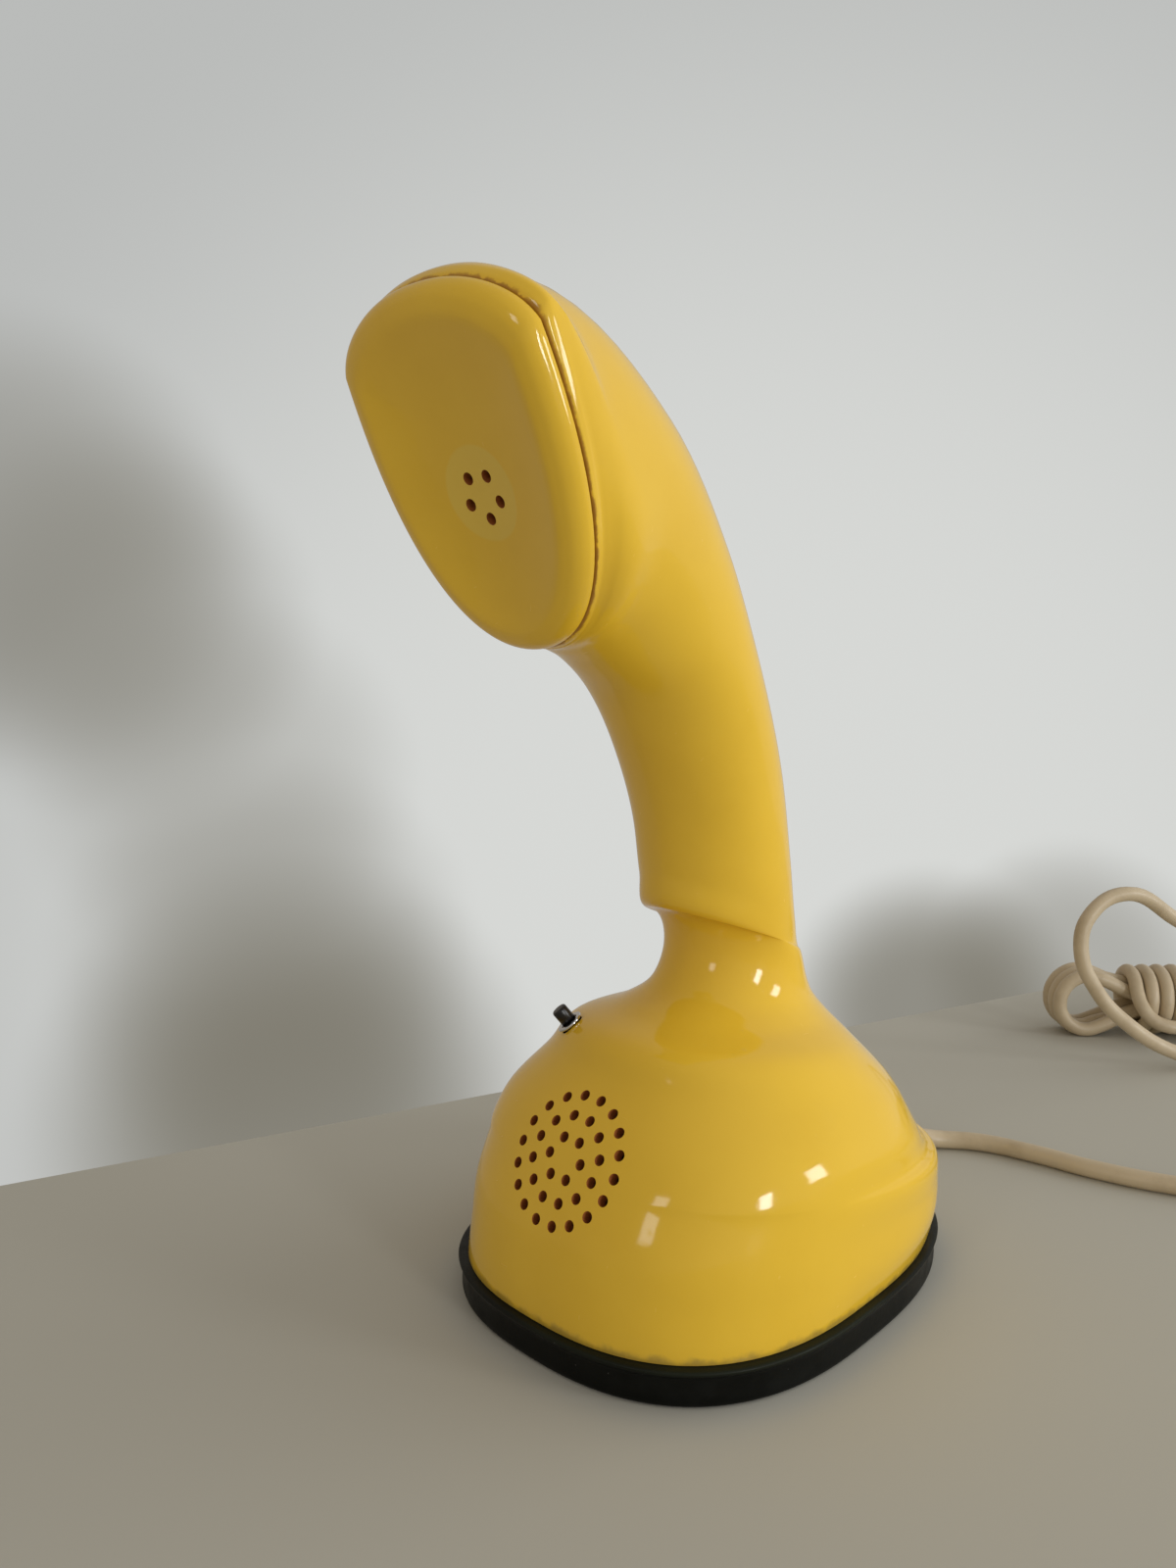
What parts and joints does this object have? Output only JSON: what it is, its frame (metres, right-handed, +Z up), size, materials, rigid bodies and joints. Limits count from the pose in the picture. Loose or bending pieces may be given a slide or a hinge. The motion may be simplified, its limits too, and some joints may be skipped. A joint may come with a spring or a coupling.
{
  "type": "one-piece dial telephone",
  "caption": "Upright moulded telephone: curved grip with an ear cap, drilled mouthpiece grille, rotary dial and line button underneath, and a line cord ending in a plug.",
  "frame": {"origin": "on the table under the middle of the telephone's outline, cord left out", "axes": "+Z up, -Y towards the mouthpiece and the ear cap, X across; X = 0 is the housing's plane of symmetry"},
  "size_m": [0.1814, 0.4378, 0.2354],
  "materials": {
    "shell_yellow": "moulded gloss plastic, mustard yellow",
    "dial_yellow": "moulded gloss plastic, mustard yellow",
    "foot_rubber": "black rubber, worn",
    "plate_metal": "black enamelled steel sheet",
    "plated_steel": "zinc plated steel",
    "bright_metal": "nickel plated, polished",
    "brass": "turned and stamped brass",
    "dial_ivory": "ivory moulded plastic with plain digits",
    "button_red": "red gloss plastic",
    "black_plastic": "black moulded plastic",
    "board_brown": "brown laminated board",
    "capsule_alloy": "spun aluminium can",
    "winding": "wound coil on a bobbin",
    "lead_insulation": "insulated leads",
    "cord_cream": "cream cord sheath",
    "plug_cream": "cream moulded plug"
  },
  "bodies": {
    "telephone": {"housing_shell": "shell_yellow", "ear_cap": "shell_yellow", "foot_ring": "foot_rubber", "base_plate": "plate_metal", "base_screws": "plated_steel", "dial_ring": "dial_ivory", "finger_stop": "bright_metal", "dial_frame": "plated_steel", "dial_bridge": "plated_steel", "dial_screws": "brass", "impulse_contacts": "board_brown", "dial_return_spring": "plated_steel", "governor_cup": "plated_steel", "hook_contacts": "board_brown", "microphone_capsule": "capsule_alloy", "microphone_clip": "black_plastic", "receiver_gasket": "foot_rubber", "receiver_capsule": "capsule_alloy", "receiver_clip": "plated_steel", "receiver_screws": "plated_steel", "terminal_board": "board_brown", "board_screws": "brass", "induction_coil": "winding", "capacitor": "capsule_alloy", "recall_nut": "bright_metal", "recall_switch": "black_plastic", "receiver_leads": "lead_insulation", "cord_strain_relief": "cord_cream", "cord_clamp": "plated_steel", "clamp_screw": "brass", "line_cord": "cord_cream", "cord_hank": "cord_cream", "plug_body": "plug_cream", "plug_pins": "brass"},
    "dial": {"finger_wheel": "dial_yellow", "dial_shaft": "brass", "drive_gear": "brass", "impulse_cam": "black_plastic"},
    "governor": {"governor_pinion": "brass", "governor_weights": "brass"},
    "line_button": {"hook_button": "button_red", "hook_rod": "black_plastic", "hook_spring": "plated_steel"},
    "recall_push": {"recall_button": "black_plastic"}
  },
  "joints": [
    {"name": "dial_turn", "type": "hinge", "parent": "telephone", "child": "dial", "pos_m": [0, 0.01495, 0], "axis": [0, 0, 1], "range_deg": [0, 330], "stiffness_Nm_per_rad": 0.004, "springref_deg": -28.65},
    {"name": "governor_spin", "type": "hinge", "parent": "telephone", "child": "governor", "pos_m": [0.02652, 0.01495, 0], "axis": [0, 0, 1], "range_deg": [-1620, 0]},
    {"name": "line_button_press", "type": "slide", "parent": "telephone", "child": "line_button", "axis": [0, 0, -1], "range_m": [0, 0.0045], "stiffness_N_per_m": 200, "springref_m": 0.006, "deforming": ["hook_spring"]},
    {"name": "recall_press", "type": "slide", "parent": "telephone", "child": "recall_push", "axis": [0.3599, 0.4477, -0.8185], "range_m": [0, 0.0015], "stiffness_N_per_m": 400, "springref_m": -0.001}
  ],
  "couplings": [
    {"joint": "governor_spin", "follows": "dial_turn", "ratio": -4.5}
  ]
}
